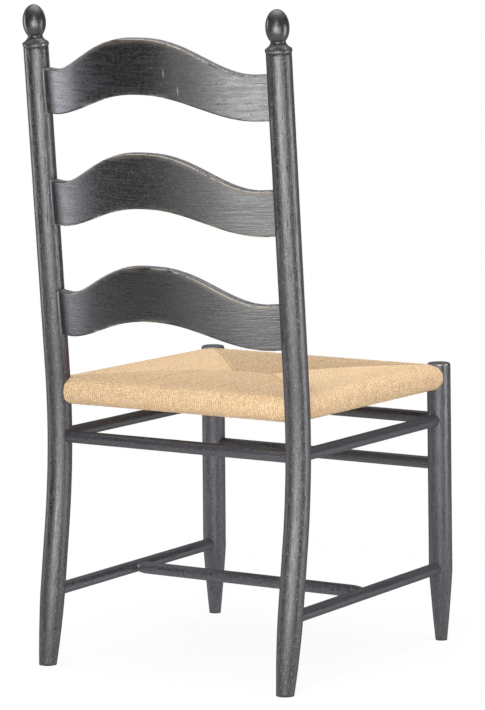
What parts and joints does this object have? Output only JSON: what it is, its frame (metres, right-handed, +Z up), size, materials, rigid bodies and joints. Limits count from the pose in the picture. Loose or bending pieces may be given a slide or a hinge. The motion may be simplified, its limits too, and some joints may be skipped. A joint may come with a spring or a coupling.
{
  "type": "ladder-back side chair",
  "caption": "Ladder-back dining side chair with turned posts, bowed and arched back slats, round rungs and a woven rush seat.",
  "frame": {"origin": "on the floor, at the centre of the chair's overall footprint", "axes": "+Z up, the chair's front faces -Y, +X is the sitter's left side"},
  "size_m": [0.4976, 0.6152, 1.0801],
  "materials": {
    "painted_frame": "worn black paint over wood, satin, rubbed back to brown on the edges",
    "bare_rail": "unpainted wood, hidden in the rush",
    "rush": "twisted tan rush cord, matt",
    "stuffing": "folded rush packing, hidden in the seat"
  },
  "bodies": {
    "root": {"rear_post_left": "painted_frame", "rear_post_right": "painted_frame", "front_leg_left": "painted_frame", "front_leg_right": "painted_frame", "back_slat_top": "painted_frame", "back_slat_middle": "painted_frame", "back_slat_bottom": "painted_frame", "rear_rung": "painted_frame", "front_rung_upper": "painted_frame", "front_rung_lower": "painted_frame", "side_rung_upper_left": "painted_frame", "side_rung_upper_right": "painted_frame", "side_rung_lower_left": "painted_frame", "side_rung_lower_right": "painted_frame", "cross_stretcher": "painted_frame", "seat_rail_rear": "bare_rail", "seat_rail_front": "bare_rail", "seat_rail_left": "bare_rail", "seat_rail_right": "bare_rail", "rush_seat": "rush", "seat_stuffing": "stuffing"}
  },
  "joints": []
}
